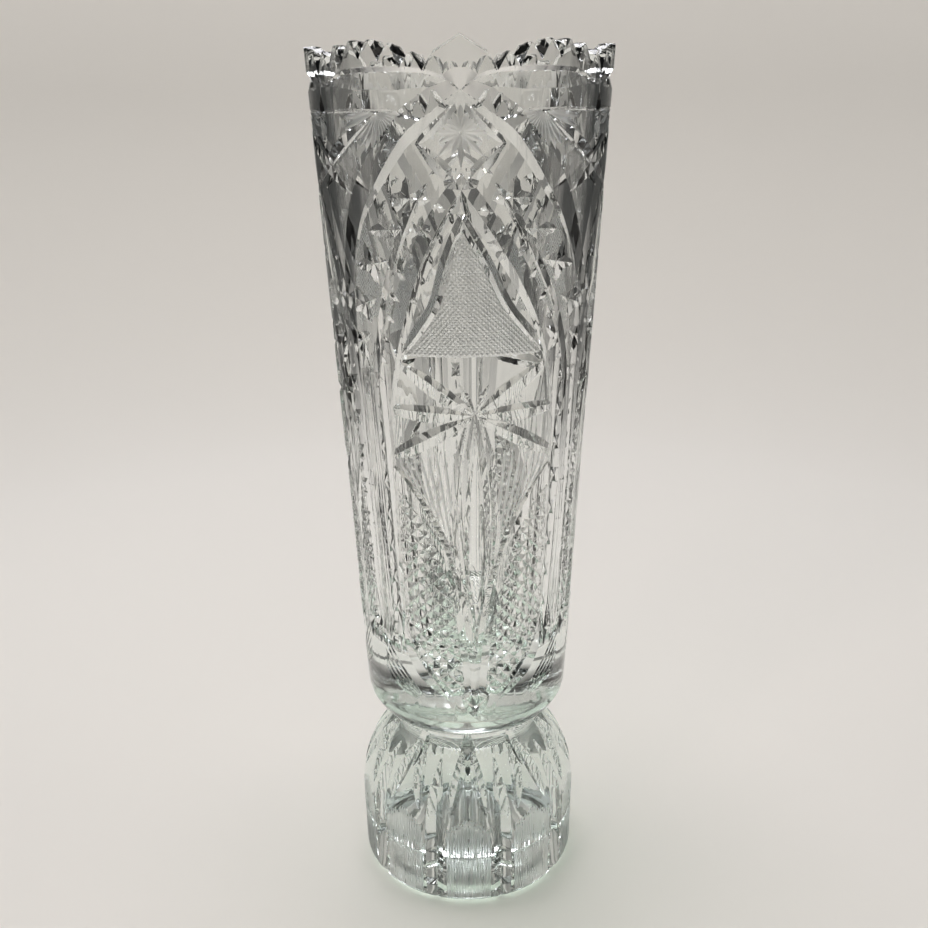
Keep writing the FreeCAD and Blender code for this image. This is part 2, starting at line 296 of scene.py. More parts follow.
def bowl_rows():
    """Plain rows of the bowl under its cut wall, and from its lip down the cavity."""
    underside = JOINT_HEIGHT - JOINT_LAP
    inside = WALL_START[0] + (FLOOR_HEIGHT - WALL_START[1]) * WALL_LEAN - FLOOR_WALL
    low = [(0.0, underside), (JOINT_RADIUS, underside)]
    low += arc((JOINT_RADIUS, JOINT_HEIGHT), BASE_RING, UNDERSIDE_ROUND, 1, 8)
    low += [(BASE_RING[0] - 0.1, BASE_RING[1] + 2.4), (WALL_START[0] - 0.2, WALL_START[1] - 1.4)]
    top = RIM_HEIGHT - LIP_DROP
    rise = (top - FLOOR_HEIGHT) / (RIM_HEIGHT - FLOOR_HEIGHT)
    cavity_top = inside + (RIM_RADIUS - RIM_WALL - inside) * rise
    high = [(cavity_top, top)]
    for share in (0.75, 0.5, 0.25, 0.0):
        level = FLOOR_HEIGHT + FLOOR_ROUND + (top - FLOOR_HEIGHT - FLOOR_ROUND) * share
        high.append((inside + (cavity_top - inside) * share, level))
    high += arc((inside, FLOOR_HEIGHT + FLOOR_ROUND), (inside - FLOOR_ROUND, FLOOR_HEIGHT),
                FLOOR_ROUND, 1, 8)
    high += [(0.0, FLOOR_HEIGHT)]
    return low, high


def foot_rows():
    """Plain rows of the foot's hollow, the outline of its cut side, and plain rows of its neck."""
    low = [(0.0, RECESS[0][1]), RECESS[0], RECESS[1]]
    side = [(REST_RADIUS, 0.0)]
    side += arc((REST_RADIUS, 0.0), FOOT_EDGE, EDGE_ROUND, 1, 8)
    side += [FOOT_WIDE]
    side += arc(FOOT_WIDE, SHOULDER_TOP, SHOULDER_ROUND, 1, 24)
    side += arc(SHOULDER_TOP, NECK_START, NECK_ROUND, -1, 6)
    high = [(JOINT_RADIUS, JOINT_HEIGHT - 1.0), (JOINT_RADIUS, JOINT_HEIGHT), (0.0, JOINT_HEIGHT)]
    return low, side, high


def through(points, steps=5, shares=None):
    """Smooth path of (angle, height, share) through a few (angle, height) places."""
    places = [np.array(point, float) for point in points]
    places = [2 * places[0] - places[1]] + places + [2 * places[-1] - places[-2]]
    path = []
    count = len(points) - 1
    for index in range(count):
        a, b, c, d = places[index:index + 4]
        for step in range(steps + (index == count - 1)):
            t = step / steps
            spot = 0.5 * (2 * b + (c - a) * t + (2 * a - 5 * b + 4 * c - d) * t * t
                          + (3 * b - a - 3 * c + d) * t ** 3)
            whole = (index + t) / count
            share = 1.0
            if shares:
                share = float(np.interp(whole, [s[0] for s in shares], [s[1] for s in shares]))
            path.append((spot[0], spot[1], share))
    return path


# Curves of the panel that more than one family of cuts needs

ARCH = [(-0.6, 333.2), (4, 330.6), (10, 326.5), (20, 320), (27, 312.5), (33, 305), (38.5, 298), (43, 291),
        (47, 283), (50.5, 274), (53.6, 262), (55.2, 250), (55.5, 235)]
LANCET_OUTER = [(12.2, 303), (16.5, 297.5), (21, 290), (26.6, 280), (31.4, 270), (35.2, 262), (40.6, 245),
                (43.5, 230), (45, 210)]
BUTTONS = [(13.5, 303.5), (25, 292.5), (34, 282), (43, 268.5), (50, 252.5), (53, 240)]
UPRIGHT_FOOT = 118.0
ARCH_HALF = 55.5
LANCET_HALF = 40.0
LANCET_BOW = 1.8
LANCET_APEX = 301.0
LANCET_DROP = 91.0
LEAF_TOP = 200.0
LEAF_HALF = 42.0
LEAF_FALL = 0.03
FAN = (30, 326)
STAR = (0.0, 319.5)
ROSETTE = (0, 221)
CROSSED = (45, -45)


def lancet_inner(share):
    """Angle and height at a share of the way down the inner line of the lancet."""
    return LANCET_HALF * (1 - (1 - share) ** LANCET_BOW), LANCET_APEX - LANCET_DROP * share


def leaf_edge(height):
    """Angle of the long leaf's mitre at a height."""
    return LEAF_HALF * np.exp((height - LEAF_TOP) * LEAF_FALL)


def on_curve(points, height):
    """Angle of a curve of (angle, height) points at a height."""
    heights = [z for angle, z in points][::-1]
    angles = [angle for angle, z in points][::-1]
    return np.interp(height, heights, angles)


def rim_cuts(cuts, sizes):
    """The crescents under the teeth, the line below them and the fans over the arch."""
    crescent = [(0.6, 334.4), (12, 337.8), (28, 338.6), (44, 338.2), (55.5, 335.0)]
    swell = [(0, 0.08), (0.12, 0.55), (0.4, 1.0), (0.7, 0.95), (1, 0.1)]
    cuts.groove(through(crescent, 4, swell), width=(1.6, 5.6), depth=1.7)
    line = through([(24, 326.3), (42, 326.6), (60, 326.3)], 3)
    cuts.groove(line, width=1.1, depth=0.4)
    cuts.grinding = True
    for tilt in range(96, 266, 12):
        reach = 13.5 if 110 < tilt < 250 else 16.0
        cuts.ray(FAN, tilt, reach, width=2.3, depth=0.6, inner=1.0, blunt=0.1)
    cuts.grinding = False


def arch_cuts(cuts, sizes):
    """The outer arch, its uprights and the crossed mitres where two panels meet."""
    upright = 0.55
    taper = [(0, 1.0), (0.45, 0.95), (0.7, 0.62), (1, upright)]
    arch = through(ARCH, 3, taper)
    arch += [(ARCH_HALF, z, upright) for z in (220, 200, 180, 160, 140, 128)]
    arch.append((ARCH_HALF, UPRIGHT_FOOT, 0.08))
    outer_share = 0.58
    width = (sizes.arch_width * outer_share, sizes.arch_width * (1 - outer_share))
    cuts.groove(arch, width, sizes.arch_depth)
    cuts.leaf(FAN, (76, 299), width=5.0, depth=1.9, steps=8)
    cuts.leaf((PANEL_HALF, 332), (PANEL_HALF, 314), width=5.0, depth=1.8)
    for angle in (47, 51.5):
        cuts.groove([(angle, 236, 0.1), (angle, 228, 1.0), (angle, 200, 1.0), (angle, 165, 1.0),
                     (angle, 132, 1.0), (angle, UPRIGHT_FOOT, 0.1)], width=1.5, depth=0.5)


def button_cuts(cuts, sizes):
    """Hexagonal buttons in the strip between the arch and the lancet, and down the panel's edge."""
    for index in range(len(BUTTONS) - 1):
        one = BUTTONS[index]
        two = BUTTONS[index + 1]
        middle = ((one[0] + two[0]) / 2, (one[1] + two[1]) / 2)
        per_degree = math.radians(wall_radius(middle[1]))
        along = math.degrees(math.atan2((two[0] - one[0]) * per_degree, two[1] - one[1]))
        for turn in (-48, 48):
            half = 7.6
            cuts.ray(middle, along + turn, half, width=5.4, depth=1.5, inner=-half, steps=6)
    column_top = 229
    column_pitch = 14.0
    for number in range(8):
        height = column_top - column_pitch * number
        for turn in (-38, 38):
            half = 6.4
            cuts.ray((PANEL_HALF, height), turn, half, width=3.6, depth=1.4, inner=-half, steps=6)
        half = 2.4
        between = (PANEL_HALF, height - column_pitch / 2)
        cuts.ray(between, 0, half, width=1.6, depth=0.6, inner=-half, steps=4)
    chain_angle = 42.5
    chain_top = 212
    chain_pitch = 5.8
    for number in range(16):
        half = 2.3
        oval = (chain_angle, chain_top - chain_pitch * number)
        cuts.ray(oval, 90, half, width=2.2, depth=0.9, inner=-half, steps=4)


def lancet_cuts(cuts, sizes):
    """The two lines of the lancet, the small diamonds between them and the star over them."""
    past_apex = 0.03
    steps = 14
    inner = [(*lancet_inner(step / steps if step else -past_apex), 1.0) for step in range(steps + 1)]
    upright = (195, 180, 165, 150, 135)
    inner += [(LANCET_HALF, z, 0.9) for z in upright] + [(LANCET_HALF, UPRIGHT_FOOT, 0.1)]
    outer_share = 0.55
    width = (sizes.lancet_width * outer_share, sizes.lancet_width * (1 - outer_share))
    cuts.groove(inner, width, sizes.lancet_depth)
    outer = through(LANCET_OUTER, 3, [(0, 0.2), (0.12, 1.0), (1, 0.8)])
    outer_angle = LANCET_OUTER[-1][0]
    outer += [(outer_angle, z, 0.8) for z in upright] + [(outer_angle, UPRIGHT_FOOT, 0.1)]
    cuts.groove(outer, width=3.6, depth=1.5)
    first_share = 0.148
    share_pitch = 0.088
    for number in range(8):
        angle, height = lancet_inner(first_share + share_pitch * number)
        between = (angle + on_curve(LANCET_OUTER, height)) / 2
        half = 3.4
        cuts.ray((between, height), 35, half, width=2.6, depth=1.1, inner=-half, steps=4)
    facets = (((0.5, 331), (-15, 316)), ((-15, 316), (0.5, 301)))
    for start, end in facets:
        cuts.leaf(start, end, width=5.2, depth=1.8, steps=6, blunt=0.3)
    cuts.grinding = True
    rays = 16
    for ray in range(rays):
        reach = 11.0 if ray % 2 == 0 else 7.6
        cuts.ray(STAR, 360 / rays * ray, reach, width=2.0, depth=0.5, inner=0.6, blunt=0.2)
    cuts.grinding = False


def shield_cuts(cuts, sizes):
    """Fine crosshatching in a pointed shield, and its mitred border."""
    edge = [(0, 291), (8, 276), (14, 262), (22, 252), (32, 241.5)]
    low = 243
    high = 289
    margin = 2.2
    fade = 1.5
    hatch_steepness = 0.34

    def inside(angle, height):
        across = on_curve(edge, height) - margin - np.abs(angle)
        return np.minimum(across, np.minimum(height - low, high - height)) * fade

    cuts.grinding = True
    cuts.field(inside, sizes.hatch_pitch, sizes.hatch_pitch * hatch_steepness, CROSSED)
    cuts.grinding = False
    border = through(edge, 4, [(0, 1.0), (0.8, 1.0), (1, 0.3)])
    cuts.groove(border, width=4.2, depth=1.6)


def rosette_cuts(cuts, sizes):
    """Long rays from the middle of the panel and the stems that hang from it."""
    for end in ((33, 241), (41, 222), (42, 201)):
        cuts.leaf(ROSETTE, end, sizes.ray_width, sizes.ray_depth, steps=8)
    for tilt in (24, 60, 180):
        cuts.ray(ROSETTE, tilt, 13, width=2.6, depth=1.0, inner=0.5)
    run_out = [(0, 0.4), (0.1, 1.0), (0.9, 1.0), (1, 0.1)]
    stem = [ROSETTE, (-3, 200), (-4.5, 180), (-5, 160), (-3.5, 145), (0, 130), (2, 110)]
    cuts.groove(through(stem, 3, run_out), width=3.6, depth=1.6)
    second = [(4, 216), (7.5, 200), (9.5, 180), (9.7, 165), (8, 150), (6, 135), (3, 115), (1, 101)]
    cuts.groove(through(second, 3, run_out), width=3.2, depth=1.4)
    cuts.grinding = True
    for number in range(7):
        start = 12.5 + 3.4 * number
        low = 168 + 3.0 * number
        end = start * 0.7
        if leaf_edge(low) > end:
            path = [(start * 1.05, LEAF_TOP + 7, 0.15), (start, LEAF_TOP, 1.0),
                    (start * 0.86, (LEAF_TOP + low) / 2, 1.0), (end, low, 0.15)]
            cuts.groove(path, width=1.1, depth=0.4)
    cuts.grinding = False


def leaf_cuts(cuts, sizes):
    """The long leaves, the pyramids beside them and the arcs in the panel's lower corners."""
    path = [(leaf_edge(height), float(height), 1.0) for height in np.linspace(201, 100, 22)]
    path[0] = (path[0][0], path[0][1], 0.2)
    cuts.groove(path, sizes.leaf_width, sizes.leaf_depth)
    corner = [(36.5, 178), (36.5, 140), (33, 125), (29, 115), (22, 108), (13, 101)]
    widest, turn_height = corner[1]
    low = 101
    high = 190
    margin = 2.6
    fade = 0.8

    def pyramids(angle, height):
        outer = np.where(height > turn_height, widest, on_curve(corner, height))
        room = np.minimum(angle - leaf_edge(height) - margin, outer - angle)
        return np.minimum(room, np.minimum(height - low, high - height) / 2) * fade

    cuts.field(pyramids, sizes.hobnail_pitch, sizes.hobnail_depth, CROSSED)
    swell = [(0, 0.1), (0.3, 0.9), (0.7, 1.0), (1, 0.1)]
    crescent = [(38, 142), (35.5, 127), (31, 116), (24, 108), (13, 98.5)]
    cuts.groove(through(crescent, 4, swell), width=(3.4, 1.6), depth=1.5)
    fade_out = [(0, 0.1), (0.2, 1), (0.8, 1), (1, 0.1)]
    for number in range(5):
        out = 2.6 * number
        bend = [(53, 124 - 1.5 * out), (41 + out * 0.4, 111 - out * 0.9), (28 + out * 0.3, 99 - out * 0.2)]
        cuts.groove(through(bend, 3, fade_out), width=1.2, depth=0.45)
    cuts.leaf((-7, 101), (0.6, 90.5), width=3.6, depth=1.4)


def foot_cuts(cuts, sizes):
    """Half a lobe: the mitre beside it, its comb of fine lines and the flutes of its shoulder."""
    half = 180 / LOBES
    path = [(half, 0.0, 1.0), (half, 34.0, 1.0), (half, 46.0, 0.92), (half, 58.0, 0.7), (half, 70.0, 0.12)]
    cuts.groove(path, width=8.0, depth=3.4)
    pitch = 1.45
    bottom = 3.5
    cuts.grinding = True
    for line in range(8):
        angle = (line + 0.5) * pitch
        top = 44.0 - angle * 0.5
        cuts.groove([(angle, bottom, 1.0), (angle, top - 2, 1.0), (angle, top, 0.1)], width=1.2, depth=0.5)
    cuts.grinding = False
    cuts.groove([(0, 26, 1.0), (12.4, 26, 1.0)], width=1.3, depth=0.6)
    cuts.leaf((9.2, 47), (2.4, 76), width=5.4, depth=2.0, steps=8)
    cuts.leaf((0, 64), (0, 82), width=6.0, depth=1.4, steps=6)


def star_depth(rel, radius):
    """How deep the star under the foot is cut at an angle within half a lobe and a radius, in mm."""
    deepest = np.zeros_like(rel)
    long_ray = (0.0, 29.0, 3.4, 1.6)
    short_ray = (180 / LOBES, 20.0, 2.6, 1.2)
    blunt = 0.12
    for ray, reach, width, depth in (long_ray, short_ray):
        if radius < reach:
            half = width * math.sin(math.pi * (blunt + (1 - blunt) * radius / reach))
            aside = radius * np.abs(np.sin(np.radians(rel - ray)))
            deepest = np.maximum(deepest, depth * np.clip(1 - aside / half, 0, 1))
    return deepest


# Geometry Nodes: mirror a half panel, repeat it and merge it into one closed piece

def add_node(tree, kind, links=(), **settings):
    """One node with its settings and the (input, value or socket) pairs given."""
    node = tree.nodes.new(kind)
    for name, value in settings.items():
        setattr(node, name, value)
    for place, value in links:
        socket = node.inputs[place]
        if isinstance(value, bpy.types.NodeSocket):
            tree.links.new(value, socket)
        else:
            socket.default_value = value
    return node


def ring_tree():
    """Tree that mirrors a half panel, repeats it round the axis and lets it lean as hand cutting does."""
    tree = bpy.data.node_groups.new("ring_of_panels", "GeometryNodeTree")
    face = tree.interface
    face.new_socket("Half panel", in_out="INPUT", socket_type="NodeSocketGeometry")
    face.new_socket("Repeats", in_out="INPUT", socket_type="NodeSocketInt")
    face.new_socket("Lean", in_out="INPUT", socket_type="NodeSocketFloat")
    face.new_socket("Lean from", in_out="INPUT", socket_type="NodeSocketFloat")
    face.new_socket("Lean to", in_out="INPUT", socket_type="NodeSocketFloat")
    face.new_socket("Finish", in_out="INPUT", socket_type="NodeSocketMaterial")
    face.new_socket("Ring", in_out="OUTPUT", socket_type="NodeSocketGeometry")
    given = add_node(tree, "NodeGroupInput")
    turned = add_node(tree, "GeometryNodeTransform", [
        ("Geometry", given.outputs["Half panel"]), ("Scale", (-1.0, 1.0, 1.0))])
    other = add_node(tree, "GeometryNodeFlipFaces", [("Mesh", turned.outputs[0])])
    panel = add_node(tree, "GeometryNodeJoinGeometry", [(0, given.outputs["Half panel"])])
    tree.links.new(other.outputs[0], panel.inputs[0])
    places = add_node(tree, "GeometryNodeMeshLine", [("Count", given.outputs["Repeats"]),
                                                     ("Offset", (0.0, 0.0, 0.0))])
    index = add_node(tree, "GeometryNodeInputIndex")
    pitch = add_node(tree, "ShaderNodeMath", [(0, 2 * math.pi), (1, given.outputs["Repeats"])],
                     operation="DIVIDE")
    turn = add_node(tree, "ShaderNodeMath", [(0, index.outputs[0]), (1, pitch.outputs[0])],
                    operation="MULTIPLY")
    spin = add_node(tree, "ShaderNodeCombineXYZ", [("Z", turn.outputs[0])])
    copies = add_node(tree, "GeometryNodeInstanceOnPoints", [
        ("Points", places.outputs[0]), ("Instance", panel.outputs[0]), ("Rotation", spin.outputs[0])])
    loose = add_node(tree, "GeometryNodeRealizeInstances", [("Geometry", copies.outputs[0])])
    place = add_node(tree, "GeometryNodeInputPosition")
    split = add_node(tree, "ShaderNodeSeparateXYZ", [(0, place.outputs[0])])
    drift = add_node(tree, "ShaderNodeMapRange", [
        ("Value", split.outputs["Z"]), ("From Min", given.outputs["Lean from"]),
        ("From Max", given.outputs["Lean to"]), ("To Min", 0.0), ("To Max", given.outputs["Lean"])],
        interpolation_type="SMOOTHSTEP")
    leaned = add_node(tree, "ShaderNodeVectorRotate", [
        ("Vector", place.outputs[0]), ("Angle", drift.outputs[0])], rotation_type="Z_AXIS")
    moved = add_node(tree, "GeometryNodeSetPosition", [
        ("Geometry", loose.outputs[0]), ("Position", leaned.outputs[0])])
    whole = add_node(tree, "GeometryNodeMergeByDistance", [
        ("Geometry", moved.outputs[0]), ("Distance", SEAM * MM)])
    solid = add_node(tree, "GeometryNodeRealizeInstances", [("Geometry", whole.outputs[0])])
    finish = add_node(tree, "GeometryNodeSetMaterial", [
        ("Geometry", solid.outputs[0]), ("Material", given.outputs["Finish"])])
    add_node(tree, "NodeGroupOutput", [(0, finish.outputs[0])])
    return tree


def half_panel(name, bands, target):
    """Mesh of a half panel. A band is (rows, fine); each row holds its points from the centre line out."""
    vertices = []
    faces = []
    rows = []
    for band in bands:
        for row in band[0]:
            rows.append((len(vertices), len(row), band[1]))
            vertices.extend(row)
    for (low, count, low_fine), (high, other, high_fine) in zip(rows, rows[1:]):
        if count == other and count > 1:
            for k in range(count - 1):
                faces.append((low + k, low + k + 1, high + k + 1, high + k))
        elif count == 1:
            faces.extend((low, high + k + 1, high + k) for k in range(other - 1))
        elif other == 1:
            faces.extend((low + k, low + k + 1, high) for k in range(count - 1))
        elif count < other:
            every = (other - 1) // (count - 1)
            for k in range(count - 1):
                rim = [high + every * k + j for j in range(every, -1, -1)]
                faces.append((low + k, low + k + 1, *rim))
        else:
            every = (count - 1) // (other - 1)
            for k in range(other - 1):
                rim = [low + every * k + j for j in range(every + 1)]
                faces.append((*rim, high + k + 1, high + k))
    mesh = bpy.data.meshes.new(name)
    mesh.from_pydata([tuple(MM * v for v in point) for point in vertices], [], faces)
    mesh.update()
    piece = bpy.data.objects.new(name, mesh)
    bpy.context.scene.collection.objects.link(piece)
    cut_rows = [row for row in rows if row[2]]
    inner = []
    for low, count, fine in cut_rows[1:-1]:
        inner.extend(range(low + 1, low + count - 1))
    group = piece.vertex_groups.new(name="cut_wall")
    group.add(inner, 1.0, "REPLACE")
    triangles = sum(len(face) - 2 for face in faces)
    thin = piece.modifiers.new("thin", "DECIMATE")
    thin.ratio = min(target / triangles, 1.0)
    thin.vertex_group = "cut_wall"
    graph = bpy.context.evaluated_depsgraph_get()
    made = bpy.data.meshes.new_from_object(piece.evaluated_get(graph))
    bpy.data.objects.remove(piece)
    return made


def drift(height):
    """Degrees that the ring's surface leans at a height, as its tree turns it."""
    share = min(max((LEAN_TOP - height) / (LEAN_TOP - LEAN_FOOT), 0.0), 1.0)
    return LEAN * share * share * (3 - 2 * share)


def ring_piece(name, made_half, repeats, leaning, finish):
    """A finished piece: the half panel mirrored and repeated, closed, as a plain mesh."""
    half, relief = made_half
    tree = bpy.data.node_groups.get("ring_of_panels") or ring_tree()
    holder = bpy.data.objects.new(f"{name}_half", half)
    bpy.context.scene.collection.objects.link(holder)
    modifier = holder.modifiers.new("ring", "NODES")
    modifier.node_group = tree
    values = {"Repeats": repeats, "Lean": math.radians(leaning), "Lean from": LEAN_TOP * MM,
              "Lean to": LEAN_FOOT * MM, "Finish": finish}
    for item in tree.interface.items_tree:
        if item.in_out == "INPUT" and item.name in values:
            modifier[item.identifier] = values[item.name]
    graph = bpy.context.evaluated_depsgraph_get()
    made = bpy.data.meshes.new_from_object(holder.evaluated_get(graph))
    bpy.data.objects.remove(holder)
    made.name = name
    tidy = bmesh.new()
    tidy.from_mesh(made)
    bmesh.ops.triangulate(tidy, faces=tidy.faces)
    bmesh.ops.recalc_face_normals(tidy, faces=tidy.faces)
    loose = sum(1 for edge in tidy.edges if not edge.is_manifold)
    if loose:
        raise RuntimeError(f"{name} has {loose} edges that aren't closed")
    tidy.to_mesh(made)
    tidy.free()
    made.polygons.foreach_set("use_smooth", [True] * len(made.polygons))
    made.set_sharp_from_angle(angle=math.radians(CRISP))
    ground = made.attributes.new("ground", "FLOAT", "FACE")
    edge = 180 / repeats
    for polygon in made.polygons:
        centre = polygon.center / MM
        turn = math.degrees(math.atan2(centre.x, -centre.y)) - (drift(centre.z) if leaning else 0.0)
        rel = abs((turn + edge) % (2 * edge) - edge)
        outside = polygon.normal.x * centre.x + polygon.normal.y * centre.y > 0
        ground.data[polygon.index].value = float(outside and relief.is_matt(rel, centre.z))
    piece = bpy.data.objects.new(name, made)
    bpy.context.scene.collection.objects.link(piece)
    return piece


def around(radii, heights, angles):
    """Row of points at angles in degrees from the front."""
    turn = np.radians(angles)
    radii = np.broadcast_to(radii, turn.shape)
    heights = np.broadcast_to(heights, turn.shape)
    return np.stack((radii * np.sin(turn), -radii * np.cos(turn), heights), axis=1).tolist()


def bowl_half(sizes):
    """Half a panel of the bowl: underside, cut wall, toothed lip, cavity wall and floor."""
    angles = np.linspace(0, PANEL_HALF, int(PANEL_HALF / FINE_ANGLE) + 1)
    plain = angles[::PLAIN_EVERY]
    heights = np.arange(WALL_START[1], RIM_HEIGHT + GABLE_RISE + FINE_HEIGHT, FINE_HEIGHT)
    relief = Relief(angles, heights, [wall_radius(height) for height in heights])
    for family in (rim_cuts, arch_cuts, button_cuts, lancet_cuts, shield_cuts, rosette_cuts, leaf_cuts):
        family(relief, sizes)
    outer_gap, inner_gap = tooth_gaps(angles)
    crown = np.array([crown_height(angle) for angle in angles])
    outer_edge = crown - outer_gap - LIP_ROUND
    inner_edge = crown - inner_gap - LIP_ROUND
    wall_rows = []
    top = heights[-1]
    for height in heights:
        level = np.full_like(angles, height)
        if height > STEADY_TOP:
            share = (height - STEADY_TOP) / (top - STEADY_TOP)
            level = STEADY_TOP + share * (outer_edge - STEADY_TOP)
        where = np.clip((level - heights[0]) / FINE_HEIGHT, 0, len(heights) - 1.001)
        low = where.astype(int)
        part = where - low
        columns = np.arange(len(angles))
        deep = relief.depth[low, columns] * (1 - part) + relief.depth[low + 1, columns] * part
        radius = WALL_START[0] + (level - WALL_START[1]) * WALL_LEAN - deep
        wall_rows.append(around(radius, level, angles))
    lip_rows = []
    edge_radius = WALL_START[0] + (outer_edge - WALL_START[1]) * WALL_LEAN
    inner_radius = WALL_START[0] + (inner_edge - WALL_START[1]) * WALL_LEAN - RIM_WALL
    for share in (0.25, 0.5, 0.75, 1.0):
        rounding = LIP_ROUND * math.sin(math.pi * share)
        lip_rows.append(around(edge_radius + (inner_radius - edge_radius) * share,
                               outer_edge + (inner_edge - outer_edge) * share + rounding, angles))
    rows = bowl_rows()
    bands = [([around(*rows[0][0], [0.0])] + [around(*row, plain) for row in rows[0][1:]], False),
             (wall_rows, True), (lip_rows, False),
             ([around(*row, plain) for row in rows[1][:-1]] + [around(*rows[1][-1], [0.0])], False)]
    return half_panel("bowl_half", bands, sizes.bowl_triangles / (2 * PANELS)), relief


def foot_half(sizes):
    """Half a lobe of the foot: hollow and rest face, cut side and shoulder, neck."""
    half = 180 / LOBES
    angles = np.linspace(0, half, int(half / FINE_ANGLE) + 1)
    plain = angles[::PLAIN_EVERY]
    low, side, high = foot_rows()
    line = np.array(side)
    lengths = np.concatenate(([0.0], np.cumsum(np.hypot(*np.diff(line, axis=0).T))))
    levels = np.arange(0.0, lengths[-1], FINE_HEIGHT)
    radii = np.interp(levels, lengths, line[:, 0])
    heights = np.interp(levels, lengths, line[:, 1])
    slope_r = np.gradient(radii, levels)
    slope_z = np.gradient(heights, levels)
    relief = Relief(angles, levels, radii)
    foot_cuts(relief, sizes)
    wall_rows = []
    side_top = 30
    turning = 10
    for index in range(len(levels)):
        deep = relief.depth[index]
        steep = min(max((heights[index] - side_top) / turning, 0.0), 1.0)
        out_r = slope_z[index] * steep + (1 - steep)
        out_z = -slope_r[index] * steep
        radius = radii[index] - deep * out_r
        if heights[index] < side_top:
            radius = np.minimum(radii[index], foot_radius(heights[index]) - deep)
        wall_rows.append(around(radius, heights[index] - deep * out_z, angles))
    first_ring = 1.0
    ring_pitch = 2.0
    star = [around(radius, low[0][1] + star_depth(plain, radius), plain)
            for radius in np.arange(first_ring, low[1][0], ring_pitch)]
    bands = [([around(*low[0], [0.0])] + star + [around(*row, plain) for row in low[1:]], False),
             (wall_rows, True),
             ([around(*row, plain) for row in high[:-1]] + [around(*high[-1], [0.0])], False)]
    return half_panel("foot_half", bands, sizes.foot_triangles / (2 * LOBES)), relief


# Materials

CRYSTAL_IOR = 1.545
TINT_DENSITY = 3.2
SHADOW_COLOUR = "#dfe4e1"


def crystal(name, sizes):
    """Wheel-cut crystal: acid polished it is clear and bright-edged, left ground it is silver-grey.

    Where it is thick, both turn a little green.
    """
    material = bpy.data.materials.new(name)
    material.use_nodes = True
    tree = material.node_tree
    tree.nodes.clear()
    body = add_node(tree, "ShaderNodeBsdfPrincipled", [
        ("Base Color", linear(sizes.glass_colour)), ("Transmission Weight", 1.0), ("Metallic", 0.0)])
    body.inputs["IOR"].default_value = CRYSTAL_IOR
    cut = add_node(tree, "ShaderNodeAttribute", attribute_name="ground")
    finish = add_node(tree, "ShaderNodeMapRange", [
        ("Value", cut.outputs["Fac"]), ("To Min", sizes.polished), ("To Max", sizes.ground)])
    tree.links.new(finish.outputs[0], body.inputs["Roughness"])
    tint = add_node(tree, "ShaderNodeVolumeAbsorption")
    tint.inputs["Color"].default_value = linear(sizes.depth_colour)
    tint.inputs["Density"].default_value = TINT_DENSITY
    passing = add_node(tree, "ShaderNodeBsdfTransparent", [("Color", linear(SHADOW_COLOUR))])
    path = add_node(tree, "ShaderNodeLightPath")
    glass = add_node(tree, "ShaderNodeMixShader", [
        (0, path.outputs["Is Shadow Ray"]), (1, body.outputs[0]), (2, passing.outputs[0])])
    add_node(tree, "ShaderNodeOutputMaterial", [("Surface", glass.outputs[0]), ("Volume", tint.outputs[0])])
    return material


# X times Y, in square metres, where the painted room shade on the paper's corners starts and where it is
# full
SHADE_CORNER_START = 0.1
SHADE_CORNER_FULL = 0.36


def paper(name, colour, room):
    """Matt seamless paper, even and without shine to the camera; for every other ray its corners carry
    painted shade in a dark room colour, so the glass finds dim corners of the room round it.
    """
    material = bpy.data.materials.new(name)
    material.use_nodes = True
    tree = material.node_tree
    tree.nodes.clear()
    place = add_node(tree, "ShaderNodeTexCoord")
    split = add_node(tree, "ShaderNodeSeparateXYZ", [(0, place.outputs["Object"])])
    cross = add_node(tree, "ShaderNodeMath", [(0, split.outputs["X"]), (1, split.outputs["Y"])],
                     operation="MULTIPLY")
    aside = add_node(tree, "ShaderNodeMath", [(0, cross.outputs[0])], operation="ABSOLUTE")
    # Painted shade: away from the axes the paper darkens towards the room shade colour, for every ray but
    # camera rays
    dim = add_node(tree, "ShaderNodeMapRange", [
        ("Value", aside.outputs[0]), ("From Min", SHADE_CORNER_START), ("From Max", SHADE_CORNER_FULL)])
    path = add_node(tree, "ShaderNodeLightPath")
    seen = add_node(tree, "ShaderNodeMath", [(0, 1.0), (1, path.outputs["Is Camera Ray"])],
                    operation="SUBTRACT")
    share = add_node(tree, "ShaderNodeMath", [(0, dim.outputs[0]), (1, seen.outputs[0])],
                     operation="MULTIPLY")
    tone = add_node(tree, "ShaderNodeMix", [
        ("Factor", share.outputs[0]), (6, linear(colour)), (7, linear(room))], data_type="RGBA")
    sheet = add_node(tree, "ShaderNodeBsdfDiffuse", [("Color", tone.outputs[2]), ("Roughness", 0.6)])
    add_node(tree, "ShaderNodeOutputMaterial", [("Surface", sheet.outputs[0])])
    return material


